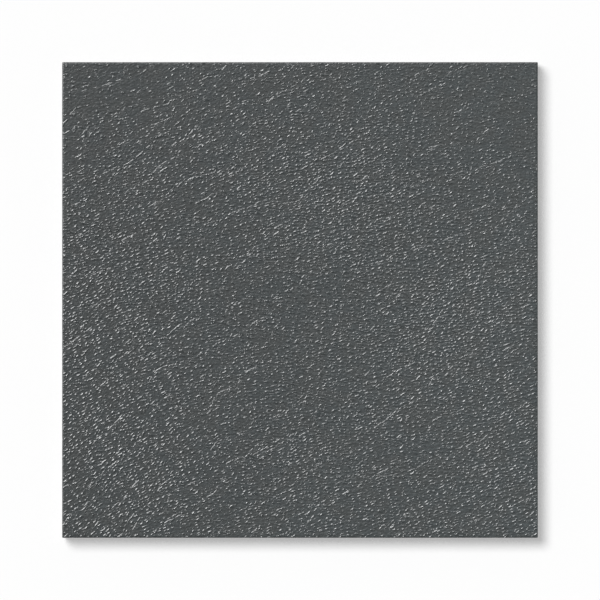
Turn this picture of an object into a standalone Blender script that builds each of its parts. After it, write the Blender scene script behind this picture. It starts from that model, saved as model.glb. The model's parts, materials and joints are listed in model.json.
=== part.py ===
"""Leather-faced granite slab for leatherwork, lying on its four rubber feet with the leather up.

Metres, +Z up. The origin is on the bench, under the middle of the slab, and -Y is the front.
From the top down the part comes apart as the leather face, the cement film, the granite slab,
and then a tape disc and a rubber foot near each corner.
"""

from math import cos, pi, sin, tau

import bmesh
import bpy
from mathutils import Matrix, Vector

# Granite slab: a square of calibrated stone with eased edges.
SLAB_SIDE = 0.3050
SLAB_THICKNESS = 0.0100
BASE_ARRIS = 0.0015  # chamfer round the underside, where fingers lift the slab
FACE_ARRIS = 0.0003  # ease round the upper face; the leather is trimmed to its inner line
CORNER_ARRIS = 0.0006  # ease of the four upright corners

# Leather face: one piece of hide, cut square.
LEATHER_THICKNESS = 0.0020
LEATHER_RIM = 0.0004  # round of its upper edge, dragged down by the knife
RIM_SEGMENTS = 3

# Cement film between the leather and the stone.
CEMENT_THICKNESS = 0.0003
CEMENT_MARGIN = 0.0015  # how far the film stops short of the leather's edge

# Rubber feet: low moulded discs, each with a dished underside.
FOOT_RADIUS = 0.0100  # at the top, where the foot is taped on
FOOT_HEIGHT = 0.0030
FOOT_TAPER = 0.0012  # how much smaller the radius is near the bench
FOOT_EDGE = 0.0005  # radius of the lower outer edge
FOOT_RING = 0.0030  # width of the flat ring that stands on the bench
DISH_DEPTH = 0.0008
DISH_SLOPE = 0.0006  # how far the dish's wall leans inwards
FOOT_INSET = 0.0300  # from the slab's sides to the foot's centre

# Foam tape discs that hold the feet to the stone.
TAPE_THICKNESS = 0.0005
TAPE_MARGIN = 0.0015  # how far the tape stops short of the foot's edge

FACE_GAP = 0.0003  # between faces that touch
ROUND_STEPS = 32  # sides of a turned piece
EDGE_STEPS = 2  # sides of a turned piece's rounded edge
SMOOTH_ANGLE = 0.6  # radians between faces that are shaded as one
MERGE_DISTANCE = 0.00001

# Heights above the bench, from the bottom up.
TAPE_BOTTOM = FOOT_HEIGHT + FACE_GAP
SLAB_BOTTOM = TAPE_BOTTOM + TAPE_THICKNESS + FACE_GAP
CEMENT_BOTTOM = SLAB_BOTTOM + SLAB_THICKNESS + FACE_GAP
LEATHER_BOTTOM = CEMENT_BOTTOM + CEMENT_THICKNESS + FACE_GAP

LEATHER_SIDE = SLAB_SIDE - 2 * FACE_ARRIS
CEMENT_SIDE = LEATHER_SIDE - 2 * CEMENT_MARGIN
TAPE_RADIUS = FOOT_RADIUS - TAPE_MARGIN
FOOT_PLACE = SLAB_SIDE / 2 - FOOT_INSET

CORNERS = {
    "front_left": (-1, -1),
    "front_right": (1, -1),
    "back_left": (-1, 1),
    "back_right": (1, 1),
}


def clear_scene():
    for obj in list(bpy.data.objects):
        bpy.data.objects.remove(obj, do_unlink=True)


def material(name, colour, roughness):
    made = bpy.data.materials.new(name)
    made.use_nodes = True
    shader = made.node_tree.nodes["Principled BSDF"]
    shader.inputs["Base Color"].default_value = (*colour, 1.0)
    shader.inputs["Roughness"].default_value = roughness
    shader.inputs["Metallic"].default_value = 0.0
    return made


def add_object(name, mesh, location, parent):
    obj = bpy.data.objects.new(name, mesh)
    bpy.context.scene.collection.objects.link(obj)
    obj.location = location
    obj.parent = parent
    return obj


def block_mesh(name, side, thickness, finish):
    """A square block standing on z = 0, centred on the Z axis."""
    mesh = bpy.data.meshes.new(name)
    bm = bmesh.new()
    middle = Matrix.Translation(Vector((0, 0, thickness / 2)))
    size = Matrix.Diagonal(Vector((side, side, thickness, 1)))
    bmesh.ops.create_cube(bm, size=1.0, matrix=middle @ size)
    bm.to_mesh(mesh)
    bm.free()
    mesh.materials.append(finish)
    return mesh


def edge_place(mesh, edge, thickness):
    """Whether a block's edge is round its base, round its face or an upright corner."""
    heights = [mesh.vertices[i].co.z for i in edge.vertices]
    if max(heights) < thickness / 2:
        return "base"
    if min(heights) > thickness / 2:
        return "face"
    return "corner"


def ease_edges(obj, thickness, widths, segments):
    """Bevels a block's edges. widths gives the width of each place that is eased."""
    widest = max(widths.values())
    weights = obj.data.attributes.new("bevel_weight_edge", "FLOAT", "EDGE")
    for edge in obj.data.edges:
        place = edge_place(obj.data, edge, thickness)
        weights.data[edge.index].value = widths.get(place, 0.0) / widest
    bevel = obj.modifiers.new("eased edges", "BEVEL")
    bevel.limit_method = "WEIGHT"
    bevel.offset_type = "OFFSET"
    bevel.width = widest
    bevel.segments = segments


def turned_mesh(name, profile, finish):
    """A solid of revolution about Z. The profile is a list of (radius, height), from the axis
    at the top, round the outside, to the axis at the bottom."""
    mesh = bpy.data.meshes.new(name)
    bm = bmesh.new()
    points = [bm.verts.new((radius, 0, height)) for radius, height in profile]
    line = [bm.edges.new(pair) for pair in zip(points, points[1:])]
    bmesh.ops.spin(bm, geom=points + line, axis=(0, 0, 1), angle=tau, steps=ROUND_STEPS)
    bmesh.ops.remove_doubles(bm, verts=bm.verts, dist=MERGE_DISTANCE)
    bmesh.ops.recalc_face_normals(bm, faces=bm.faces)
    bm.to_mesh(mesh)
    bm.free()
    mesh.shade_smooth()
    mesh.set_sharp_from_angle(angle=SMOOTH_ANGLE)
    mesh.materials.append(finish)
    return mesh


def make_slab(finish, parent):
    mesh = block_mesh("granite_slab", SLAB_SIDE, SLAB_THICKNESS, finish)
    slab = add_object("granite_slab", mesh, (0, 0, SLAB_BOTTOM), parent)
    arrises = {"base": BASE_ARRIS, "face": FACE_ARRIS, "corner": CORNER_ARRIS}
    ease_edges(slab, SLAB_THICKNESS, arrises, segments=1)


def make_cement(finish, parent):
    mesh = block_mesh("cement_film", CEMENT_SIDE, CEMENT_THICKNESS, finish)
    add_object("cement_film", mesh, (0, 0, CEMENT_BOTTOM), parent)


def make_leather(finish, parent):
    mesh = block_mesh("leather_face", LEATHER_SIDE, LEATHER_THICKNESS, finish)
    leather = add_object("leather_face", mesh, (0, 0, LEATHER_BOTTOM), parent)
    ease_edges(leather, LEATHER_THICKNESS, {"face": LEATHER_RIM}, RIM_SEGMENTS)


def foot_profile():
    """Half the section of a foot, from the middle of its top to the middle of its dish."""
    ring_outer = FOOT_RADIUS - FOOT_TAPER - FOOT_EDGE
    ring_inner = ring_outer - FOOT_RING
    profile = [(0, FOOT_HEIGHT), (FOOT_RADIUS, FOOT_HEIGHT)]
    for step in range(EDGE_STEPS + 1):
        turn = pi / 2 * step / EDGE_STEPS
        profile.append((ring_outer + FOOT_EDGE * cos(turn), FOOT_EDGE * (1 - sin(turn))))
    profile += [(ring_inner, 0), (ring_inner - DISH_SLOPE, DISH_DEPTH), (0, DISH_DEPTH)]
    return profile


def tape_profile():
    return [(0, TAPE_THICKNESS), (TAPE_RADIUS, TAPE_THICKNESS), (TAPE_RADIUS, 0), (0, 0)]


def make_feet(rubber, tape, parent):
    """A rubber foot and its tape disc near each corner."""
    foot_mesh = turned_mesh("foot", foot_profile(), rubber)
    tape_mesh = turned_mesh("foot_tape", tape_profile(), tape)
    for corner, (x_side, y_side) in CORNERS.items():
        x, y = x_side * FOOT_PLACE, y_side * FOOT_PLACE
        add_object(f"foot_{corner}", foot_mesh, (x, y, 0), parent)
        add_object(f"foot_tape_{corner}", tape_mesh, (x, y, TAPE_BOTTOM), parent)


def main():
    clear_scene()
    granite = material("granite", (0.105, 0.107, 0.110), 0.45)
    cement = material("contact_cement", (0.260, 0.165, 0.065), 0.35)
    leather = material("leather", (0.067, 0.077, 0.080), 0.30)
    rubber = material("foot_rubber", (0.012, 0.012, 0.013), 0.75)
    tape = material("foam_tape", (0.600, 0.600, 0.580), 0.80)

    slab_set = add_object("leather_faced_slab", None, (0, 0, 0), None)
    make_slab(granite, slab_set)
    make_cement(cement, slab_set)
    make_leather(leather, slab_set)
    make_feet(rubber, tape, slab_set)


main()
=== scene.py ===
import json
import math

import bmesh
import bpy
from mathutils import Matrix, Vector

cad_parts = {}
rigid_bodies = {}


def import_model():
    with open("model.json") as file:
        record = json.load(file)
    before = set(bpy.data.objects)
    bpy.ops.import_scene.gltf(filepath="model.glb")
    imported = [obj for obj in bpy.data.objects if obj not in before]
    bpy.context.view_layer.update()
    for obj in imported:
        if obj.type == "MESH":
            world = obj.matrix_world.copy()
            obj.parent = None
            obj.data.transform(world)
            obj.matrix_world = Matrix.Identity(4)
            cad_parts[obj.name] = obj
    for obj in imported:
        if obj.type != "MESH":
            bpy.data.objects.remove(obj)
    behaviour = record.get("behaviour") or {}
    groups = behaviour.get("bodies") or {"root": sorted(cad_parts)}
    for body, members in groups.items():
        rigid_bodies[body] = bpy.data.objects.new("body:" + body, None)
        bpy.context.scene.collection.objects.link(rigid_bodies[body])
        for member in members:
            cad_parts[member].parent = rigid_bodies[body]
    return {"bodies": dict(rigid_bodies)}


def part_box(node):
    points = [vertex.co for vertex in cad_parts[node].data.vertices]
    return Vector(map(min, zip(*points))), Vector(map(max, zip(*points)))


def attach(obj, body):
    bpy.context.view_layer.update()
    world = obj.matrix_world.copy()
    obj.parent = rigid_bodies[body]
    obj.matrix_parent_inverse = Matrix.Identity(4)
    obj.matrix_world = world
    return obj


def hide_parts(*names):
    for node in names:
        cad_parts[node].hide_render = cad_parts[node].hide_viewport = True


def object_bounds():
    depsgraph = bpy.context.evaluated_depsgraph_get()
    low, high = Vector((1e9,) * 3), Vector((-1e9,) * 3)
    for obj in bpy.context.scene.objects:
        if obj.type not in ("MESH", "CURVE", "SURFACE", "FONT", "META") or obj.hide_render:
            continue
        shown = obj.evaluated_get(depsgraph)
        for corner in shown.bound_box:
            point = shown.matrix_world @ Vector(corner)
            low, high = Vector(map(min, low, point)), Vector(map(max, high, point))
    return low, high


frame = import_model()
cadLow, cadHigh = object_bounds()
body = next(iter(frame["bodies"]))
corners = ["front_left", "front_right", "back_left", "back_right"]
closeBy = 0.000001  # places this close count as the same; metres, unless a note says else


# A Wire is an output socket that takes part in expressions, such as 1 - mask.
class Wire:
    def __init__(self, graph, socket):
        self.graph = graph
        self.socket = socket

    def __getitem__(self, name):  # another output of the same node
        return Wire(self.graph, pickSocket(self.socket.node.outputs, name))

    def __add__(self, other):
        return self.graph.maths("ADD", self, other)

    def __radd__(self, other):
        return self.graph.maths("ADD", other, self)

    def __sub__(self, other):
        return self.graph.maths("SUBTRACT", self, other)

    def __rsub__(self, other):
        return self.graph.maths("SUBTRACT", other, self)

    def __mul__(self, other):
        return self.graph.maths("MULTIPLY", self, other)

    def __rmul__(self, other):
        return self.graph.maths("MULTIPLY", other, self)

    def __truediv__(self, other):
        return self.graph.maths("DIVIDE", self, other)

    def __pow__(self, other):
        return self.graph.maths("POWER", self, other)

    def __lt__(self, other):
        return self.graph.maths("LESS_THAN", self, other)

    def size(self):
        return self.graph.maths("ABSOLUTE", self)

    def sine(self):
        return self.graph.maths("SINE", self)

    def exponent(self):
        return self.graph.maths("EXPONENT", self)

    def least(self, other):
        return self.graph.maths("MINIMUM", self, other)

    def most(self, other):
        return self.graph.maths("MAXIMUM", self, other)

    def ramp(self, low, high):  # 0 up to low, 1 from high, straight between
        values = {"Value": self, "From Min": low, "From Max": high}
        return self.graph.add("ShaderNodeMapRange", None, values)

    def smooth(self, low, high):  # the same, eased at both ends
        settings = {"interpolation_type": "SMOOTHSTEP"}
        values = {"Value": self, "From Min": low, "From Max": high}
        return self.graph.add("ShaderNodeMapRange", settings, values)

    def between(self, low, high):  # low where the wire is 0, high where it is 1
        return self * (high - low) + low


def pickSocket(sockets, key):
    if isinstance(key, int):
        return sockets[key]
    return next(s for s in sockets if s.name == key and s.enabled)


class Graph:
    def __init__(self, tree):
        self.tree = tree

    def add(self, kind, settings=None, values=None, take=None):
        node = self.tree.nodes.new(kind)
        for name, setting in (settings or {}).items():
            setattr(node, name, setting)
        for key, value in (values or {}).items():
            self.feed(pickSocket(node.inputs, key), value)
        if not node.outputs:
            return None
        if take is None:
            return Wire(self, next(s for s in node.outputs if s.enabled))
        return Wire(self, pickSocket(node.outputs, take))

    def feed(self, socket, value):
        if isinstance(value, Wire):
            self.tree.links.new(value.socket, socket)
        else:
            socket.default_value = value

    def maths(self, operation, *values):
        return self.add("ShaderNodeMath", {"operation": operation}, dict(enumerate(values)))

    def vectors(self, operation, *values):
        return self.add("ShaderNodeVectorMath", {"operation": operation}, dict(enumerate(values)))

    def scaled(self, vector, amount):  # the amount is one number, or one for each axis
        if isinstance(amount, tuple):
            return self.vectors("MULTIPLY", vector, amount)
        return self.add("ShaderNodeVectorMath", {"operation": "SCALE"}, {0: vector, "Scale": amount})

    def parts(self, vector):
        wire = self.add("ShaderNodeSeparateXYZ", None, {0: vector})
        return wire["X"], wire["Y"], wire["Z"]

    def mixColour(self, factor, first, second):
        values = {"Factor": factor, "A": tinted(first), "B": tinted(second)}
        return self.add("ShaderNodeMix", {"data_type": "RGBA"}, values)

    def noise(self, vector, perMetre, detail=2.0, roughness=0.5, take=None):
        values = {"Vector": vector, "Scale": perMetre, "Detail": detail, "Roughness": roughness}
        return self.add("ShaderNodeTexNoise", None, values, take)

    def wavering(self, vector, perMetre, reach, detail=2.0):
        # the same vector, pushed about by up to half the reach
        drift = self.noise(vector, perMetre, detail, take="Color")
        drift = self.vectors("SUBTRACT", drift, (0.5, 0.5, 0.5))
        return self.vectors("ADD", vector, self.scaled(drift, reach))

    def voronoi(self, vector, perMetre, take, feature="F1"):
        values = {"Vector": vector, "Scale": perMetre}
        return self.add("ShaderNodeTexVoronoi", {"feature": feature}, values, take)

    def outward(self):  # the part of the normal that lies flat
        return self.scaled(self.add("GeometryNodeInputNormal"), (1.0, 1.0, 0.0))


def tinted(colour):
    return (*colour, 1.0) if isinstance(colour, tuple) and len(colour) == 3 else colour


def hills(u, v, entries):
    # the sum of round hills, each given as its place, its radius and its height
    total = None
    for hillU, hillV, radius, height in entries:
        squares = ((u - hillU) / radius) ** 2.0 + ((v - hillV) / radius) ** 2.0
        hill = (squares * -1.0).exponent() * height
        total = hill if total is None else total + hill
    return total


def newMaterial(name):
    material = bpy.data.materials.new(name)
    material.use_nodes = True
    return material, Graph(material.node_tree)


def finishMaterial(graph, values):
    shader = graph.tree.nodes["Principled BSDF"]
    for name, value in values.items():
        graph.feed(pickSocket(shader.inputs, name), value)


def objectPlace(graph):
    return graph.add("ShaderNodeTexCoord", take="Object")


def bump(graph, height):
    return graph.add("ShaderNodeBump", None, {"Strength": 1.0, "Distance": 1.0, "Height": height})


def readValue(graph, name):
    return graph.add("ShaderNodeAttribute", {"attribute_name": name}, take="Fac")


def newObject(name, mesh):
    piece = bpy.data.objects.new(name, mesh)
    bpy.context.scene.collection.objects.link(piece)
    return piece


def newTree(name, floats):
    # a Geometry Nodes tree with the geometry and some named numbers as its inputs
    tree = bpy.data.node_groups.new(name, "GeometryNodeTree")
    tree.interface.new_socket("Geometry", in_out="INPUT", socket_type="NodeSocketGeometry")
    for label in floats:
        tree.interface.new_socket(label, in_out="INPUT", socket_type="NodeSocketFloat")
    tree.interface.new_socket("Geometry", in_out="OUTPUT", socket_type="NodeSocketGeometry")
    graph = Graph(tree)
    return graph, graph.add("NodeGroupInput")


def storeValue(graph, geometry, name, value):
    settings = {"data_type": "FLOAT", "domain": "POINT"}
    values = {"Geometry": geometry, "Name": name, "Value": value}
    return graph.add("GeometryNodeStoreNamedAttribute", settings, values)


def moved(graph, geometry, direction, amount):
    values = {"Geometry": geometry, "Offset": graph.scaled(direction, amount)}
    return graph.add("GeometryNodeSetPosition", None, values)


def endTree(graph, geometry, finishes):
    # finishes are (material, selection) pairs, each over the ones before it
    geometry = graph.add("GeometryNodeRealizeInstances", None, {"Geometry": geometry})
    for material, selection in finishes:
        values = {"Geometry": geometry, "Material": material, "Selection": selection}
        geometry = graph.add("GeometryNodeSetMaterial", None, values)
    graph.add("NodeGroupOutput", None, {"Geometry": geometry})
    return graph.tree


def applyTree(piece, tree, values):
    # runs the tree on the piece and keeps what comes out as its plain mesh
    modifier = piece.modifiers.new("shape", "NODES")
    modifier.node_group = tree
    for item in tree.interface.items_tree:
        if item.in_out == "INPUT" and item.name in values:
            modifier[item.identifier] = values[item.name]
    seen = bpy.context.evaluated_depsgraph_get()
    made = bpy.data.meshes.new_from_object(piece.evaluated_get(seen), depsgraph=seen)
    piece.modifiers.remove(modifier)
    plain = piece.data
    made.name = plain.name
    piece.data = made
    bpy.data.meshes.remove(plain)


def finishPiece(piece, slot, *nodes):
    # hands a finished piece to the frame, in the place of the CAD's own nodes
    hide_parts(*nodes)
    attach(piece, body)
    print(piece.name + ":", len(piece.data.polygons), "faces")


studio = {
    "lens": 600.0,  # mm, long enough to hide the slab's sides
    "sensor": 36.0,  # mm
    "faceShare": 0.7935,  # of the picture's width that the slab takes
    "keyHeight": 63.5,  # degrees above the horizon
    "keySide": 135.0,  # degrees, anticlockwise from +X: back left
    "keySpread": 26.0,  # degrees that the key light fills
    "keyPower": 2.02,
    "fill": 0.13,  # of white, all round
    "horizon": 0.42,  # of white, low down, in reflections
    "backdrop": (0.985, 0.985, 0.985),
    "floor": (0.90, 0.90, 0.90),
    "floorGlow": 0.355,
    "floorRadius": 20.0,
    "floorSides": 96,
    "farthest": 100.0,  # metres that the camera sees
    "horizonRise": (0.05, 0.75),  # where the horizon's light starts to fade, and is gone
}


def makeCamera():
    camera = newObject("camera", bpy.data.cameras.new("camera"))
    camera.data.lens = studio["lens"]
    camera.data.sensor_width = studio["sensor"]
    width = (cadHigh.x - cadLow.x) / studio["faceShare"]
    middle = (cadLow + cadHigh) / 2
    camera.location = (middle.x, middle.y, cadHigh.z + width * studio["lens"] / studio["sensor"])
    camera.data.clip_end = studio["farthest"]
    bpy.context.scene.camera = camera


def makeLights():
    key = newObject("key", bpy.data.lights.new("key", "SUN"))
    key.data.energy = studio["keyPower"]
    key.data.angle = math.radians(studio["keySpread"])
    height, side = math.radians(studio["keyHeight"]), math.radians(studio["keySide"])
    flat = math.cos(height)
    towards = Vector((math.cos(side) * flat, math.sin(side) * flat, math.sin(height)))
    key.rotation_euler = towards.to_track_quat("Z", "Y").to_euler()

    world = bpy.data.worlds.new("studio")
    bpy.context.scene.world = world
    world.use_nodes = True
    world.cycles.sampling_method = "NONE"
    graph = Graph(world.node_tree)
    light = graph.add("ShaderNodeLightPath")
    rise = graph.parts(graph.add("ShaderNodeTexCoord", take="Generated"))[2]
    horizon = (1.0 - rise.smooth(*studio["horizonRise"])) * light["Is Glossy Ray"]
    colour = graph.mixColour(horizon, (studio["fill"],) * 3, (studio["horizon"],) * 3)
    colour = graph.mixColour(light["Is Camera Ray"], colour, studio["backdrop"])
    graph.feed(world.node_tree.nodes["Background"].inputs["Color"], colour)
    bpy.context.scene.view_settings.view_transform = "Standard"


def makeFloor():
    mesh = bpy.data.meshes.new("floor")
    build = bmesh.new()
    sides, radius = studio["floorSides"], studio["floorRadius"]
    bmesh.ops.create_circle(build, cap_ends=True, segments=sides, radius=radius)
    build.to_mesh(mesh)
    build.free()
    floor = newObject("floor", mesh)
    floor.location.z = cadLow.z
    material, graph = newMaterial("pale floor")
    finishMaterial(graph, {
        "Base Color": tinted(studio["floor"]),
        "Roughness": 1.0,
        "Specular IOR Level": 0.0,
        "Emission Color": (1.0, 1.0, 1.0, 1.0),
        "Emission Strength": studio["floorGlow"],
    })
    mesh.materials.append(material)


hide = {
    "cells": 300,  # along each side of the grain surface
    "rim": 0.0002,  # round of the cut edge's upper corner
    "rimTurns": (30, 60, 90),  # degrees round it
    "wallSteps": (0.25, 0.5, 0.75, 1.0),  # shares of the wall's depth
    "reliefIn": (0.0003, 0.003),  # from the sides: where the relief starts, and is whole
    "reliefUp": (0.0001, 0.00005),  # below the face: where it starts, and is whole
    "cutFrom": 0.00035,  # below the face: where the cut edge starts
    "cutWhole": 0.0002,  # and how much lower it wanders fully
    "cutWander": 0.00012,  # how unevenly the knife went
    "cutLevel": 0.75,  # of the noise: below it the knife went in, above it out
    "cutFibres": 420.0,  # to a metre, as all counts here
    "foldPitch": 0.0104,
    "foldStraight": 0.9,  # from 0, crooked, to 1, straight
    "foldHeight": 0.00009,
    "swells": 9.0,
    "swell": 0.0002,
    "grainRelief": 0.00004,
    "grainRise": (0.53, 0.74),  # of the wave: where a ridge in the mesh starts, and is whole
    "flow": 10.0,  # degrees that the grain rises to the right
    "flowWander": 26.0,
    "flowTurns": 18.0,
    "flowHills": [  # across, along, radius, degrees
        (0.00, 0.18, 0.32, 26.0),
        (0.52, 0.44, 0.22, -14.0),
        (0.30, 0.90, 0.20, 10.0),
        (1.00, 1.00, 0.18, -16.0),
    ],
    "loose": 0.46,  # how loose the hide is where nothing changes it, from 0 to 1
    "looseWander": 0.5,
    "loosePatches": 22.0,
    "looseShape": (1.0, 1.6, 1.0),  # squeezes the patches from front to back
    "looseHills": [  # across, along, radius, how much looser
        (0.02, 0.48, 0.18, 0.14),
        (0.02, 0.05, 0.18, 0.02),
        (0.58, 0.72, 0.15, 0.35),
        (0.78, 0.50, 0.18, 0.35),
        (1.00, 0.10, 0.20, 0.20),
        (0.00, 1.00, 0.22, -0.55),
        (0.33, 1.00, 0.20, -0.20),
        (0.66, 1.00, 0.20, -0.15),
        (1.00, 1.00, 0.23, -0.47),
    ],
    "toneAcross": 0.34,  # painted light: how much lighter the colour is painted from left to right
    "toneAlong": -0.12,  # painted light, likewise from front to back
    "toneWander": 0.12,
    "tonePatches": 25.0,
    "toneHills": [  # across, along, radius, how much lighter
        (0.95, 0.48, 0.30, 0.03),
        (0.60, 0.72, 0.18, 0.03),
    ],
    "creases": [  # from, to: across and along
        ((0.00, 0.845), (0.25, 0.925)),
        ((0.10, 0.750), (0.23, 0.860)),
        ((0.49, 0.760), (0.61, 0.840)),
        ((0.14, 0.340), (0.25, 0.450)),
        ((0.34, 0.150), (0.49, 0.220)),
        ((0.46, 0.040), (0.85, 0.190)),
        ((0.57, 0.260), (0.78, 0.390)),
    ],
    "creaseWander": 0.008,
    "creaseTurns": 45.0,
    "creasePitch": 0.0208,  # between the hide's own creases
    "creaseTurn": 0.1,  # radians that they lie off the flow
    "creaseStraight": 0.96,
    "creasePatches": 26.0,
    "creaseRarity": (0.59, 0.69),
    "creaseShift": 0.48,  # of a pitch that they move over where they are fine
    "creaseWidth": (0.0002, 0.0008),  # from its middle: where a line of beads is whole, and ends
    "grooveWidth": 0.0015,  # half the width of the soft groove along a crease
    "grooveDepth": 0.000035,
    "grainPitch": 0.0022,  # from ridge to ridge
    "grainStraight": 0.85,
    "crown": 0.04,  # of a pitch that is flat on top, each way
    "flank": 0.23,  # of a pitch that a side of the ridge takes
    "grainHeight": 0.000120,
    "grainLift": (0.8, 1.2),  # shares of that height in tight and in loose hide
    "dashPitch": 0.0044,  # from dash to dash along a ridge
    "dashEnd": (-0.08, 0.17),  # of a pitch: where a dash starts to fall, and ends
    "dashGrowth": (0.3, 0.12),  # of a pitch that it may gain by chance, and in loose hide
    "dashRarity": (0.558, 0.658),
    "looseDashes": 0.35,  # how many more there are in loose hide
    "chances": 430.0,  # patches that have a dash or lack it
    "beads": 300.0,  # along a crease
    "beadRarity": (0.44, 0.56),
    "beadLift": 0.75,  # of a ridge's height
    "pebbles": 420.0,
    "pebbleDrawn": 1.25,  # how much longer they are along the flow
    "pebbleNarrow": 1.15,  # and how much narrower across it
    "pebbleEdge": 0.28,  # of a pebble's size that its slope takes
    "pebbleHeight": 0.000024,
    "pebbleLift": (0.85, 1.0),  # shares of a ridge's height between pebbles and on them
    "pores": 2200.0,
    "poreDepth": 0.00001,
    "colour": (0.070, 0.083, 0.086),
    "warmth": (1.05, 1.0, 0.97),
    "warmPatches": 60.0,
    "warmShare": (0.4, 0.6),
    "waveRange": (0.34, 0.72),  # of the wave: where the painted shade is darkest, and the painted light palest
    # painted shade in the valleys and painted light on the ridges, as shares of the colour
    "waveShade": (0.75, 1.25),
    "pebbleShade": (0.84, 1.06),  # painted shade between pebbles and painted light on them
    "matt": 0.26,  # roughness between the ridges
    "polish": 0.21,  # roughness on them
    "polishRange": (0.1, 0.6),  # of a ridge's height
    "finish": 1.72,  # refractive index, high as the top coat's gloss
    "cutDark": (0.035, 0.036, 0.037),
    "cutPale": (0.120, 0.115, 0.105),
    "cutMatt": (0.75, 0.95),  # roughness
    "fibres": 1500.0,
    "fibreShape": (1.0, 1.0, 3.0),  # squeezes them from top to bottom
    "fibreShare": (0.35, 0.7),
    "fibreDepth": 0.0002,
    "layers": 1800.0,
    "layerShape": (0.1, 0.1, 1.0),  # draws them out along the sides
    "layerShade": (0.4, 1.2),
    "layerDepth": 0.00005,
}


def hideBlank(low, high):
    # a sheet with a fine grid on top, a rounded rim and walls down to a flat back
    mesh = bpy.data.meshes.new("leather sheet")
    build = bmesh.new()
    half, rim, cells = (high.x - low.x) / 2, hide["rim"], hide["cells"]
    bmesh.ops.create_grid(build, x_segments=cells, y_segments=cells, size=half - rim)
    for vert in build.verts:
        vert.co.z = high.z
    turns = [math.radians(angle) for angle in hide["rimTurns"]]
    rings = [(math.sin(turn) * rim, (1 - math.cos(turn)) * rim) for turn in turns]
    wall = high.z - low.z - rim
    rings += [(rim, rim + wall * share) for share in hide["wallSteps"]]
    edges = [edge for edge in build.edges if edge.is_boundary]
    for out, down in rings:
        grown = bmesh.ops.extrude_edge_only(build, edges=edges)["geom"]
        for vert in (g for g in grown if isinstance(g, bmesh.types.BMVert)):
            for axis in (0, 1):
                if abs(vert.co[axis]) > half - rim - closeBy:
                    vert.co[axis] = math.copysign(half - rim + out, vert.co[axis])
            vert.co.z = high.z - down
        edges = [g for g in grown if isinstance(g, bmesh.types.BMEdge) and g.is_boundary]
    bmesh.ops.contextual_create(build, geom=edges)
    build.to_mesh(mesh)
    build.free()
    return outwards(mesh, sharp=60.0)


def inOrder(build):
    # sorts points by place, then edges and faces by their points: each run gives the same mesh
    ways = [
        (build.verts, lambda vert: tuple(vert.co)),
        (build.edges, lambda edge: sorted(vert.index for vert in edge.verts)),
        (build.faces, lambda face: sorted(vert.index for vert in face.verts)),
    ]
    for items, place in ways:
        for rank, item in enumerate(sorted(items, key=place)):
            item.index = rank
        items.sort()


def outwards(mesh, sharp=40.0):
    # faces outwards, shaded smooth up to the sharp angle, in degrees
    build = bmesh.new()
    build.from_mesh(mesh)
    bmesh.ops.recalc_face_normals(build, faces=build.faces)
    inOrder(build)
    build.to_mesh(mesh)
    build.free()
    mesh.shade_smooth()
    mesh.set_sharp_from_angle(angle=math.radians(sharp))
    return mesh


def gabor(graph, place, pitch, flow, straightness, take=None):
    # waves that run across the flow; Phase goes from 0 to 1 over one of them
    values = {"Vector": place, "Scale": 1 / pitch, "Frequency": 1.0, "Anisotropy": straightness}
    values[4] = flow + math.pi / 2  # the input for the direction, which is the fifth
    return graph.add("ShaderNodeTexGabor", {"gabor_type": "2D"}, values, take)


def creaseDistance(graph, position, side, top):
    # how far it is to the nearest listed crease, in metres
    joined = graph.add("GeometryNodeJoinGeometry")
    for ends in hide["creases"]:
        start, end = [((u - 0.5) * side, (v - 0.5) * side, top) for u, v in ends]
        line = graph.add("GeometryNodeCurvePrimitiveLine", None, {"Start": start, "End": end})
        graph.tree.links.new(line.socket, joined.socket.node.inputs[0])
    wires = graph.add("GeometryNodeCurveToMesh", None, {"Curve": joined})
    place = graph.wavering(position, hide["creaseTurns"], hide["creaseWander"])
    place = graph.vectors("ADD", graph.scaled(place, (1.0, 1.0, 0.0)), (0.0, 0.0, top))
    values = {"Geometry": wires, "Sample Position": place}
    return graph.add("GeometryNodeProximity", {"target_element": "EDGES"}, values, take="Distance")


def ownCreases(graph, position, flow):
    # how far it is to the nearest of the hide's own creases, which are bold in a few patches
    pitch, turned = hide["creasePitch"], flow + hide["creaseTurn"]
    phase = gabor(graph, position, pitch, turned, hide["creaseStraight"], take="Phase")
    patches = graph.noise(position, hide["creasePatches"], detail=1.0)
    fine = 1.0 - patches.smooth(*hide["creaseRarity"])
    return ((phase - 0.5) * pitch + fine * pitch * hide["creaseShift"]).size()


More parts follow.
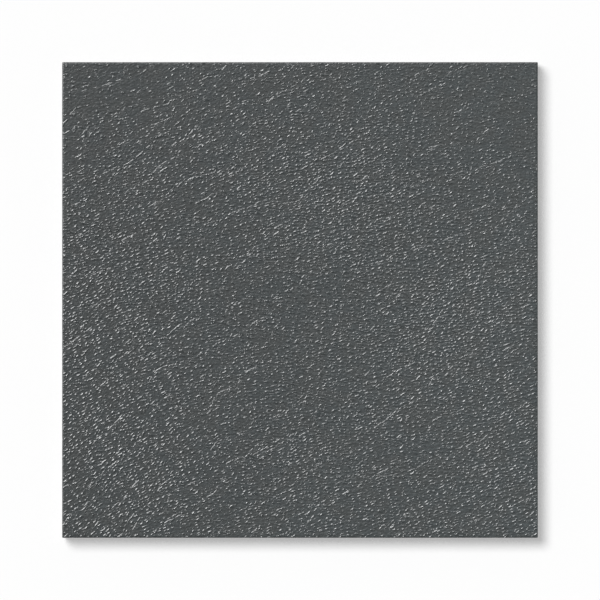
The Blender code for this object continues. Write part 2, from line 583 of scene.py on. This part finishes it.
def hideTree(side, top):
    inputs = ["Fold height", "Swell", "Grain height", "Groove depth", "Cut wander"]
    graph, start = newTree("hide relief", inputs)
    position = graph.add("GeometryNodeInputPosition")
    x, y, z = graph.parts(position)
    u, v = x / side + 0.5, y / side + 0.5

    # which way the grain flows, how loose it is, and how light the colour is: painted light from one
    # side to the other, with random patches of tone
    wander = (graph.noise(position, hide["flowTurns"], detail=1.0) - 0.5) * hide["flowWander"]
    flow = (hills(u, v, hide["flowHills"]) + hide["flow"] + wander) * math.radians(1.0)
    patches = graph.noise(graph.scaled(position, hide["looseShape"]), hide["loosePatches"]) - 0.5
    loose = hills(u, v, hide["looseHills"]) + hide["loose"] + patches * hide["looseWander"]
    mottle = (graph.noise(position, hide["tonePatches"]) - 0.5) * hide["toneWander"]
    # painted light: the colour is painted lighter to the right and to the front; the mottle is
    # random tone, and the hills make two spots lighter
    paintedLightAndTone = (u - 0.5) * hide["toneAcross"] + (v - 0.5) * hide["toneAlong"] + mottle
    paintedLightAndTone = paintedLightAndTone + hills(u, v, hide["toneHills"]) + 1.0
    crease = creaseDistance(graph, position, side, top).least(ownCreases(graph, position, flow))

    # folds, swell, grain and grooves shape the face, and fade out at its rim
    fold = gabor(graph, position, hide["foldPitch"], flow, hide["foldStraight"]) - 0.5
    broad = graph.noise(position, hide["swells"], detail=1.0) - 0.5
    grain = gabor(graph, position, hide["grainPitch"], flow, hide["grainStraight"])
    grain = grain.smooth(*hide["grainRise"])
    groove = 1.0 - crease.smooth(0.0, hide["grooveWidth"])
    lift = fold * loose * start["Fold height"] + broad * start["Swell"]
    lift = lift + grain * loose * start["Grain height"] - groove * start["Groove depth"]
    edge = (side / 2 - x.size()).least(side / 2 - y.size()).smooth(*hide["reliefIn"])
    upper = z.smooth(*[top - depth for depth in hide["reliefUp"]])
    shaped = moved(graph, start, (0.0, 0.0, 1.0), lift * edge * upper)

    # the knife left the cut edge uneven
    cut = (z - (top - hide["cutFrom"])).smooth(0.0, -hide["cutWhole"])
    ragged = graph.noise(position, hide["cutFibres"], detail=3.0) - hide["cutLevel"]
    shaped = moved(graph, shaped, graph.outward(), ragged * cut * start["Cut wander"])
    for name, value in (("flow", flow), ("loose", loose), ("crease", crease), ("paintedLightAndTone", paintedLightAndTone)):
        shaped = storeValue(graph, shaped, name, value)
    below = z < top - hide["cutFrom"]
    return endTree(graph, shaped, [(hideMaterial(), True), (cutMaterial(), below)])


def pebbleDomes(graph, place):
    # low domes, drawn out along the flow, with fine creases between them
    turn = {"Vector": place, "Angle": -math.radians(hide["flow"])}
    turned = graph.add("ShaderNodeVectorRotate", {"rotation_type": "Z_AXIS"}, turn)
    drawn = graph.scaled(turned, (1 / hide["pebbleDrawn"], hide["pebbleNarrow"], 1.0))
    bent = graph.wavering(drawn, hide["pebbles"], 1 / hide["pebbles"], detail=1.0)
    edges = graph.voronoi(bent, hide["pebbles"], "Distance", feature="DISTANCE_TO_EDGE")
    return edges.smooth(0.0, hide["pebbleEdge"])


def raisedGrain(graph, place):
    # ridges along the flow, broken into dashes, and beads along the creases
    flow, loose, crease = [readValue(graph, name) for name in ("flow", "loose", "crease")]
    wave = gabor(graph, place, hide["grainPitch"], flow, hide["grainStraight"])
    across = (wave["Phase"] - 0.5).size()  # 0 on the ridge, 0.5 in the valley
    ridge = 1.0 - across.ramp(hide["crown"], hide["crown"] + hide["flank"])
    crosswise = flow + math.pi / 2
    along = gabor(graph, place, hide["dashPitch"], crosswise, hide["grainStraight"], take="Phase")
    chance = graph.noise(place, hide["chances"], detail=0.0)
    byChance, byLooseness = hide["dashGrowth"]
    growth = chance * byChance + loose * byLooseness
    dash = 1.0 - ((along - 0.5).size() - growth).ramp(*hide["dashEnd"])
    dash = dash * (chance + loose * hide["looseDashes"]).smooth(*hide["dashRarity"])
    ridge = ridge * dash * loose.between(*hide["grainLift"])
    bead = graph.noise(place, hide["beads"], detail=0.0).smooth(*hide["beadRarity"])
    line = 1.0 - crease.smooth(*hide["creaseWidth"])
    return wave, ridge.most(line * bead * hide["beadLift"])


def hideMaterial():
    material, graph = newMaterial("hide grain")
    place = objectPlace(graph)
    wave, raised = raisedGrain(graph, place)
    pebble = pebbleDomes(graph, place)
    pore = graph.noise(place, hide["pores"]) - 0.5
    height = raised * pebble.between(*hide["pebbleLift"]) * hide["grainHeight"]
    height = height + pebble * hide["pebbleHeight"] + pore * hide["poreDepth"]

    # painted shade in the valleys and between pebbles, painted light on the ridges and pebbles,
    # painted light across the face, and a little warmer in patches
    warm = tuple(part * share for part, share in zip(hide["colour"], hide["warmth"]))
    patches = graph.noise(place, hide["warmPatches"]).smooth(*hide["warmShare"])
    # painted shade and painted light, multiplied into the colour
    shade = wave.smooth(*hide["waveRange"]).between(*hide["waveShade"])
    shade = shade * pebble.between(*hide["pebbleShade"]) * readValue(graph, "paintedLightAndTone")
    polished = raised.smooth(*hide["polishRange"])
    finishMaterial(graph, {
        "Base Color": graph.scaled(graph.mixColour(patches, hide["colour"], warm), shade),
        "Roughness": polished.between(hide["matt"], hide["polish"]),
        "IOR": hide["finish"],
        "Normal": bump(graph, height),
    })
    return material


def cutMaterial():
    material, graph = newMaterial("hide cut edge")
    place = objectPlace(graph)
    squeezed = graph.scaled(place, hide["fibreShape"])
    fibres = graph.noise(squeezed, hide["fibres"], detail=4.0, roughness=0.6)
    layers = graph.noise(graph.scaled(place, hide["layerShape"]), hide["layers"])
    pale = fibres.smooth(*hide["fibreShare"]) * layers.between(*hide["layerShade"])
    finishMaterial(graph, {
        "Base Color": graph.mixColour(pale, hide["cutDark"], hide["cutPale"]),
        "Roughness": fibres.between(*hide["cutMatt"]),
        "Normal": bump(graph, fibres * hide["fibreDepth"] + layers * hide["layerDepth"]),
    })
    return material


def makeHide():
    low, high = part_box("leather_face")
    piece = newObject("leather_sheet", hideBlank(low, high))
    side = high.x - low.x
    applyTree(piece, hideTree(side, high.z), {
        "Fold height": hide["foldHeight"],
        "Swell": hide["swell"],
        "Grain height": hide["grainRelief"],
        "Groove depth": hide["grooveDepth"],
        "Cut wander": hide["cutWander"],
    })
    finishPiece(piece, "face_leather", "leather_face")


cornerShares = (0.0, 0.3, 0.65)  # places of the extra lines across an eased corner


def sideLines(cells, corner, half):
    # places of the grid lines from -1 to 1, with three more at each eased corner
    ends = [1 - corner / half * share for share in cornerShares]
    inner = 1 - corner / half
    even = [inner * (2 * i / cells - 1) for i in range(cells + 1)]
    return [-end for end in ends] + even + ends[::-1]


def roundedPlace(u, v, half, corner):
    # a place on a square whose corners are round
    x, y = u * half, v * half
    outX, outY = abs(x) - half + corner, abs(y) - half + corner
    if min(outX, outY) > 0:
        pull = max(outX, outY) / math.hypot(outX, outY)
        x = math.copysign(half - corner + outX * pull, x)
        y = math.copysign(half - corner + outY * pull, y)
    return x, y


def squareBody(name, lines, rings, corner, gridded):
    # rings of (half side, height) from the bottom up; the bottom is a grid or one plain face
    last, width = len(lines) - 1, len(lines)
    around = [(i, 0) for i in range(last)] + [(last, i) for i in range(last)]
    around += [(i, last) for i in range(last, 0, -1)] + [(0, i) for i in range(last, 0, -1)]
    count = len(around)

    def ringPoints(half, height):
        return [(*roundedPlace(lines[u], lines[v], half, corner), height) for u, v in around]

    half, height = rings[0]
    if gridded:
        points = [(*roundedPlace(u, v, half, corner), height) for v in lines for u in lines]
        starts = [row * width + i for row in range(last) for i in range(last)]
        faces = [(s, s + 1, s + 1 + width, s + width) for s in starts]
        ring = [v * width + u for u, v in around]
    else:
        points = ringPoints(half, height)
        ring = list(range(count))
        faces = [tuple(ring)]
    for half, height in rings[1:]:
        upper = [len(points) + i for i in range(count)]
        points += ringPoints(half, height)
        for i in range(count):
            j = (i + 1) % count
            faces.append((ring[i], ring[j], upper[j], upper[i]))
        ring = upper
    faces.append(tuple(ring))
    mesh = bpy.data.meshes.new(name)
    mesh.from_pydata(points, [], faces)
    return outwards(mesh)


stone = {
    "cells": 240,  # along each side
    "corner": 0.0007,
    "baseArris": 0.0015,
    "arrisSteps": (0.0, 0.12, 0.35, 0.65, 0.88, 1.0),  # shares of the base arris
    "faceArris": 0.0003,
    "faceRound": 0.3,  # share of the face arris where it turns
    "wallSteps": 9,
    "hidden": 0.004,  # how far the top face reaches under the leather before it closes
    "chips": 230.0,  # to a metre, as all counts here
    "chipRarity": (0.585, 0.70),
    "chipDepth": 0.0007,
    "chipRange": (0.1, 0.5),  # of its depth: where a chip starts to show, and is bare
    "faceReach": 0.0007,  # how far chips come down from the face
    "baseReach": 0.0019,  # and how far from the middle of the base arris
    "baseMiddle": 0.6,  # of the base arris's height
    "reachRange": (0.3, 1.0),  # shares of those reaches
    "outerRange": (-0.0035, -0.0012),  # from the sides: where chips and wear start, and are whole
    "wear": 0.00004,  # how far the arrises are rubbed down
    "sawnRange": (0.85, 0.97),  # how squarely a face looks down where saw marks start, and are whole
    "sawDepth": 0.00003,
    "sawPitch": 0.0065,
    "sawPlace": (-0.31, 0.22),  # the saw's middle, outside the slab
    "sawDrift": 5.0,  # radians
    "sawDrifts": 25.0,
    "waves": 35.0,
    "waviness": 0.00005,
    "crystals": 720.0,
    "groundCrystals": 1900.0,
    "bends": 900.0,
    "bend": 0.0007,  # how far their outlines wander
    "clouds": 45.0,  # where the feldspar gathers
    "cloudShare": 0.25,
    "streaks": 2500.0,
    "streakShape": (1.0, 2.5, 1.6),
    "specks": 2600.0,
    "dark": (0.016, 0.017, 0.018),
    "middle": (0.075, 0.077, 0.081),
    "quartz": (0.120, 0.123, 0.127),
    "pale": (0.400, 0.395, 0.380),
    "mica": (0.005, 0.005, 0.006),
    "dust": (0.200, 0.200, 0.200),
    "micaShare": 0.15,  # of the large crystals
    "quartzShares": (0.30, 0.48),  # from, to
    "paleFrom": 0.78,
    "groundMica": 0.20,  # of the small crystals
    "groundPale": 0.74,
    "groundRange": (0.15, 0.9),
    "quartzCover": 0.85,  # how well the large crystals hide the ground
    "largeCover": 0.95,
    "chipDust": 0.75,
    "sawnDust": 0.30,
    "arrisDust": 0.18,
    "smallPit": (0.10, 0.000012),  # at a seam: share of a crystal, depth
    "largePit": (0.05, 0.000015),
    "sawnGrit": 0.00006,  # height of the specks
    "chipGrit": 0.00018,
    "honedGrit": 0.000008,
    "hone": 0.32,  # roughness of the honed sides
    "micaShine": 0.14,  # how much less rough mica is
    "speckMatt": 0.20,  # and how much rougher specks, sawn faces and chips are
    "sawnMatt": 0.35,
    "chipMatt": 0.40,
    "finish": 1.54,  # refractive index
}


def stoneRings(low, high):
    half, base, face = (high.x - low.x) / 2, stone["baseArris"], stone["faceArris"]
    steps = stone["wallSteps"]
    wall = high.z - face - low.z - base
    rings = [(half - base * (1 - k), low.z + base * k) for k in stone["arrisSteps"]]
    rings += [(half, low.z + base + wall * k / steps) for k in range(1, steps + 1)]
    turn = face * stone["faceRound"]
    rings += [(half - turn, high.z - turn), (half - face, high.z)]
    return rings + [(half - face - stone["hidden"], high.z)]


def stoneTree(low, high):
    graph, start = newTree("stone relief", ["Chip depth", "Saw depth", "Waviness", "Wear"])
    position = graph.add("GeometryNodeInputPosition")
    normal = graph.add("GeometryNodeInputNormal")
    x, y, z = graph.parts(position)
    sawn = (graph.parts(normal)[2] * -1.0).smooth(*stone["sawnRange"])

    # chips along the arrises
    upper = (high.z - z) / stone["faceReach"]
    baseMiddle = low.z + stone["baseArris"] * stone["baseMiddle"]
    lower = (z - baseMiddle).size() / stone["baseReach"]
    outer = (x.size().most(y.size()) - high.x).smooth(*stone["outerRange"])
    arris = (1.0 - upper.least(lower).smooth(*stone["reachRange"])) * outer
    broken = graph.noise(position, stone["chips"], detail=3.0, roughness=0.6)
    chip = broken.smooth(*stone["chipRarity"]) * arris

    # arcs left by the saw on the underside
    sawX, sawY = stone["sawPlace"]
    reach = ((x - sawX) ** 2.0 + (y - sawY) ** 2.0) ** 0.5
    drift = graph.noise(position, stone["sawDrifts"], detail=1.0) * stone["sawDrift"]
    kerf = (reach * (math.tau / stone["sawPitch"]) + drift).sine()

    wave = graph.noise(position, stone["waves"]) - 0.5
    height = kerf * sawn * start["Saw depth"] - chip * start["Chip depth"]
    height = height + wave * start["Waviness"] - outer * start["Wear"]
    shaped = moved(graph, start, normal, height)
    bare = chip.smooth(*stone["chipRange"])
    for name, value in (("chip", bare), ("arris", arris), ("sawn", sawn)):
        shaped = storeValue(graph, shaped, name, value)
    return endTree(graph, shaped, [(stoneMaterial(), True)])


def crystals(graph, place, perMetre):
    # two chances for each crystal, and how far it is to its edge
    cells = graph.voronoi(place, perMetre, "Color")
    chances = graph.add("ShaderNodeSeparateColor", None, {0: cells})
    seam = graph.voronoi(place, perMetre, "Distance", feature="DISTANCE_TO_EDGE")
    return chances["Red"], chances["Green"], seam


def above(value, limit, step=0.02):
    # 0 below the limit and 1 above it, with a soft step
    return (value - limit).smooth(0.0, step)


def pit(seam, size, depth):
    # how deep the surface is at the seam between two crystals
    return (1.0 - seam.smooth(0.0, size)) * depth


def stoneMaterial():
    material, graph = newMaterial("dark granite")
    place = objectPlace(graph)
    chip, arris, sawn = [readValue(graph, name) for name in ("chip", "arris", "sawn")]
    bent = graph.wavering(place, stone["bends"], stone["bend"])
    chance, shade, seam = crystals(graph, bent, stone["crystals"])
    smallChance, smallShade, smallSeam = crystals(graph, bent, stone["groundCrystals"])

    # the ground: small dark and grey crystals with a few pale and black ones
    grey = smallShade.smooth(*stone["groundRange"])
    colour = graph.mixColour(grey, stone["dark"], stone["middle"])
    colour = graph.mixColour(above(smallChance, stone["groundPale"]), colour, stone["pale"])
    colour = graph.mixColour(above(stone["groundMica"] - smallChance, 0.0), colour, stone["mica"])

    # large crystals in it: quartz, feldspar and mica
    quartzFrom, quartzTo = stone["quartzShares"]
    quartz = above(chance, quartzFrom) * above(quartzTo - chance, 0.0)
    colour = graph.mixColour(quartz * stone["quartzCover"], colour, stone["quartz"])
    clouds = graph.noise(place, stone["clouds"], detail=3.0) - 0.5
    streaks = graph.noise(graph.scaled(bent, stone["streakShape"]), stone["streaks"], detail=3.0)
    feldspar = graph.mixColour(shade * 0.5 + streaks * 0.5, stone["quartz"], stone["pale"])
    pale = above(chance + clouds * stone["cloudShare"], stone["paleFrom"])
    colour = graph.mixColour(pale * stone["largeCover"], colour, feldspar)
    mica = above(stone["micaShare"] - chance, 0.0)
    colour = graph.mixColour(mica * stone["largeCover"], colour, stone["mica"])

    # pale dust in chips and on sawn faces
    dusty = (chip * stone["chipDust"]).most(sawn * stone["sawnDust"])
    dusty = dusty.most(arris * stone["arrisDust"])
    colour = graph.mixColour(dusty, colour, stone["dust"])

    # pits at the seams, grit on broken and sawn faces, and how rough each is
    specks = graph.noise(place, stone["specks"], detail=3.0, roughness=0.6)
    pits = pit(smallSeam, *stone["smallPit"]) + pit(seam, *stone["largePit"])
    grit = sawn * stone["sawnGrit"] + chip * stone["chipGrit"] + stone["honedGrit"]
    matt = specks * stone["speckMatt"] + sawn * stone["sawnMatt"] + chip * stone["chipMatt"]
    finishMaterial(graph, {
        "Base Color": colour,
        "Roughness": matt - mica * stone["micaShine"] + stone["hone"],
        "IOR": stone["finish"],
        "Normal": bump(graph, specks * grit - pits),
    })
    return material


def makeStone():
    low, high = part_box("granite_slab")
    lines = sideLines(stone["cells"], stone["corner"], (high.x - low.x) / 2)
    mesh = squareBody("granite stone", lines, stoneRings(low, high), stone["corner"], gridded=True)
    piece = newObject("granite_stone", mesh)
    applyTree(piece, stoneTree(low, high), {
        "Chip depth": stone["chipDepth"],
        "Saw depth": stone["sawDepth"],
        "Waviness": stone["waviness"],
        "Wear": stone["wear"],
    })
    finishPiece(piece, "granite", "granite_slab")


glue = {
    "cells": 200,
    "corner": 0.0015,
    "clearance": 0.00002,  # to the stone and the leather
    "grow": 0.0004,  # how far the line of glue stands out past the film
    "bulge": 0.0003,
    "steps": 6,
    "squeeze": 0.0022,  # how much its edge wanders in and out
    "runs": 55.0,  # to a metre, as all counts here
    "runShape": (1.0, 1.0, 0.3),  # draws them out upright
    "runShare": 0.7,  # of the squeeze
    "beads": 240.0,
    "beadShape": (1.0, 1.0, 0.5),
    "beadShare": 0.3,
    "strings": 900.0,
    "stringShape": (1.0, 1.0, 6.0),  # squeezes them from top to bottom
    "stringDepth": 0.00005,
    "matt": (0.2, 0.5),  # roughness
    "depths": 130.0,
    "depthRange": (0.35, 0.65),
    "pale": (0.40, 0.27, 0.11),
    "deep": (0.13, 0.065, 0.022),
}


def glueTree():
    graph, start = newTree("glue squeeze", ["Squeeze"])
    position = graph.add("GeometryNodeInputPosition")
    runs = graph.noise(graph.scaled(position, glue["runShape"]), glue["runs"], detail=1.0) - 0.5
    beads = graph.noise(graph.scaled(position, glue["beadShape"]), glue["beads"]) - 0.5
    wander = runs * glue["runShare"] + beads * glue["beadShare"]
    shaped = moved(graph, start, graph.outward(), wander * start["Squeeze"])
    return endTree(graph, shaped, [(glueMaterial(), True)])


def glueMaterial():
    material, graph = newMaterial("dried contact cement")
    place = objectPlace(graph)
    depth = graph.noise(place, glue["depths"], detail=3.0)
    strings = graph.noise(graph.scaled(place, glue["stringShape"]), glue["strings"])
    thin = depth.smooth(*glue["depthRange"])
    finishMaterial(graph, {
        "Base Color": graph.mixColour(thin, glue["deep"], glue["pale"]),
        "Roughness": strings.between(*glue["matt"]),
        "Normal": bump(graph, strings * glue["stringDepth"]),
    })
    return material


def makeGlue():
    low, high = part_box("cement_film")
    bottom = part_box("granite_slab")[1].z + glue["clearance"]
    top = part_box("leather_face")[0].z - glue["clearance"]
    half = (high.x - low.x) / 2 + glue["grow"]
    rings = []
    for step in range(glue["steps"] + 1):
        share = step / glue["steps"]
        bulge = glue["bulge"] * math.sin(math.pi * share)
        rings.append((half + bulge, bottom + (top - bottom) * share))
    lines = sideLines(glue["cells"], glue["corner"], half)
    mesh = squareBody("glue line", lines, rings, glue["corner"], gridded=False)
    piece = newObject("glue_line", mesh)
    applyTree(piece, glueTree(), {"Squeeze": glue["squeeze"]})
    finishPiece(piece, "contact_cement", "cement_film")


def turnedMesh(name, profile, steps):
    # a turned body; the profile of (radius, height) runs from the axis to the axis
    mesh = bpy.data.meshes.new(name)
    build = bmesh.new()
    points = [build.verts.new((radius, 0.0, height)) for radius, height in profile]
    line = [build.edges.new(pair) for pair in zip(points, points[1:])]
    bmesh.ops.spin(build, geom=points + line, axis=(0, 0, 1), angle=math.tau, steps=steps)
    bmesh.ops.remove_doubles(build, verts=build.verts, dist=closeBy)
    build.to_mesh(mesh)
    build.free()
    return outwards(mesh)


def arc(centre, radius, start, end, steps):
    # points of (radius, height) on an arc; start and end in degrees
    turns = [math.radians(start + (end - start) * i / steps) for i in range(steps + 1)]
    return [(centre[0] + radius * math.cos(a), centre[1] + radius * math.sin(a)) for a in turns]


turnSeed = 5


def cornerTree(name, material, waves):
    # one copy near each corner of the slab, each turned by its own amount
    graph, start = newTree(name, ["Spacing", "Unevenness"])
    size = {"Size X": start["Spacing"], "Size Y": start["Spacing"], "Vertices X": 2, "Vertices Y": 2}
    spots = graph.add("GeometryNodeMeshGrid", None, size)
    turns = {"Min": (0.0, 0.0, 0.0), "Max": (0.0, 0.0, math.tau), "Seed": turnSeed}
    turn = graph.add("FunctionNodeRandomValue", {"data_type": "FLOAT_VECTOR"}, turns)
    values = {"Points": spots, "Instance": start["Geometry"], "Rotation": turn}
    copies = graph.add("GeometryNodeInstanceOnPoints", None, values)
    solid = graph.add("GeometryNodeRealizeInstances", None, {"Geometry": copies})
    uneven = graph.noise(graph.add("GeometryNodeInputPosition"), waves) - 0.5
    solid = moved(graph, solid, graph.outward(), uneven * start["Unevenness"])
    return endTree(graph, solid, [(material, True)])


foot = {
    "steps": 72,
    "inner": 0.5,  # share of the radius where the top has a ring of points
    "crown": 0.0003,  # round of the upper edge
    "crownArc": (90, 0, 4),  # degrees from and to, and steps, as for all arcs here
    "taper": 0.0012,  # how much smaller it is near the bench
    "edge": 0.0005,  # round of the lower edge
    "edgeArc": (-8, -90, 5),
    "ring": 0.0030,  # width of the ring it stands on
    "grooves": 3,
    "grooveDepth": 0.00015,
    "grooveHalf": 1.4,  # half its width, in depths
    "lip": 0.0003,  # round of the dish's mouth
    "lipArc": (-90, -150, 3),
    "dish": 0.0008,
    "dishSlope": 0.0007,
    "dishRound": (0.0003, 0.0001),  # inwards and down, where its wall meets its floor
    "gate": 0.0011,  # radius of the nub left by the mould's gate
    "gateHeight": 0.00025,
    "gateRound": 0.8,  # share of its radius and height where it turns
    "waves": 90.0,  # to a metre, as all counts here
    "uneven": 0.00008,
    "mould": 2200.0,
    "mouldDepth": 0.00004,
    "patches": 160.0,
    "patchMatt": (0.52, 0.77),  # roughness
    "dustRange": (0.40, 0.65),
    "dustCover": 0.8,
    "dustHeight": 0.0009,  # how far up the bench's dust reaches
    "black": (0.011, 0.011, 0.012),
    "worn": (0.034, 0.034, 0.035),
}


def footProfile(radius, height):
    crown, edge, lip, depth = foot["crown"], foot["edge"], foot["lip"], foot["grooveDepth"]
    outer = radius - foot["taper"] - edge
    inner = outer - foot["ring"]
    profile = [(0, height), (radius * foot["inner"], height)]
    profile += arc((radius - crown, height - crown), crown, *foot["crownArc"])
    profile += arc((outer, edge), edge, *foot["edgeArc"])
    half = depth * foot["grooveHalf"]
    for i in range(1, foot["grooves"] + 1):
        middle = outer - foot["ring"] * i / (foot["grooves"] + 1)
        profile += [(middle + half, 0), (middle, depth), (middle - half, 0)]
    profile += arc((inner, lip), lip, *foot["lipArc"])
    dish, wall = foot["dish"], inner - foot["dishSlope"]
    inwards, down = foot["dishRound"]
    gate, rise, turn = foot["gate"], foot["gateHeight"], foot["gateRound"]
    profile += [(wall, dish - down), (wall - inwards, dish), (gate, dish)]
    return profile + [(gate * turn, dish - rise * turn), (0, dish - rise)]


def rubberMaterial():
    material, graph = newMaterial("moulded rubber")
    place = objectPlace(graph)
    mould = graph.noise(place, foot["mould"])
    patches = graph.noise(place, foot["patches"], detail=3.0)
    low = 1.0 - graph.parts(place)[2].smooth(0.0, foot["dustHeight"])
    dusty = low * patches.smooth(*foot["dustRange"]) * foot["dustCover"]
    finishMaterial(graph, {
        "Base Color": graph.mixColour(dusty, foot["black"], foot["worn"]),
        "Roughness": patches.between(*foot["patchMatt"]),
        "Normal": bump(graph, mould * foot["mouldDepth"]),
    })
    return material


def makeFeet():
    nodes = ["foot_" + corner for corner in corners]
    low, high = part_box(nodes[0])
    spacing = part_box(nodes[1])[0].x - low.x
    profile = footProfile((high.x - low.x) / 2, high.z)
    piece = newObject("rubber_feet", turnedMesh("rubber feet", profile, foot["steps"]))
    tree = cornerTree("feet at the corners", rubberMaterial(), foot["waves"])
    applyTree(piece, tree, {"Spacing": spacing, "Unevenness": foot["uneven"]})
    finishPiece(piece, "foot_rubber", *nodes)


foam = {
    "steps": 90,
    "inner": 0.6,  # share of the radius where the faces have a ring of points
    "edgeSteps": 8,
    "clearance": 0.00002,  # to the foot and the stone
    "bulge": 0.00025,
    "tears": 900.0,  # to a metre, as all counts here
    "tear": 0.0007,  # how ragged the cut edge is
    "pores": 2600.0,
    "poreRange": (0.15, 0.45),  # from its middle: where a pore starts to close, and ends
    "poreDepth": 0.00008,
    # share of painted shade in the pores
    "poreShade": 0.8,
    "stains": 300.0,
    "stainRange": (0.5, 0.8),
    "stainShade": 0.3,
    "matt": (0.8, 0.9),  # roughness
    "pale": (0.62, 0.61, 0.57),
    # colour of the painted shade in the pores
    "pore": (0.26, 0.25, 0.23),
}


def foamMaterial():
    material, graph = newMaterial("foam tape")
    place = objectPlace(graph)
    pores = 1.0 - graph.voronoi(place, foam["pores"], "Distance").smooth(*foam["poreRange"])
    stain = graph.noise(place, foam["stains"]).smooth(*foam["stainRange"])
    # painted shade in the pores, and real stains
    shade = (pores * foam["poreShade"]).most(stain * foam["stainShade"])
    finishMaterial(graph, {
        "Base Color": graph.mixColour(shade, foam["pale"], foam["pore"]),
        "Roughness": stain.between(*foam["matt"]),
        "Normal": bump(graph, pores * -foam["poreDepth"]),
    })
    return material


def makeTape():
    nodes = ["foot_tape_" + corner for corner in corners]
    low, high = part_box(nodes[0])
    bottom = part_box("foot_front_left")[1].z + foam["clearance"]
    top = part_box("granite_slab")[0].z - foam["clearance"] - stone["sawDepth"]
    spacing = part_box(nodes[1])[0].x - low.x
    radius = (high.x - low.x) / 2
    profile = [(0, top), (radius * foam["inner"], top)]
    for step in range(foam["edgeSteps"] + 1):
        share = step / foam["edgeSteps"]
        bulge = foam["bulge"] * math.sin(math.pi * share)
        profile.append((radius + bulge, top + (bottom - top) * share))
    profile += [(radius * foam["inner"], bottom), (0, bottom)]
    piece = newObject("foam_discs", turnedMesh("foam discs", profile, foam["steps"]))
    tree = cornerTree("tape at the corners", foamMaterial(), foam["tears"])
    applyTree(piece, tree, {"Spacing": spacing, "Unevenness": foam["tear"]})
    finishPiece(piece, "foam_tape", *nodes)


makeCamera()
makeLights()
makeFloor()
print("studio: camera, key light and floor")
makeHide()
makeStone()
makeGlue()
makeFeet()
makeTape()
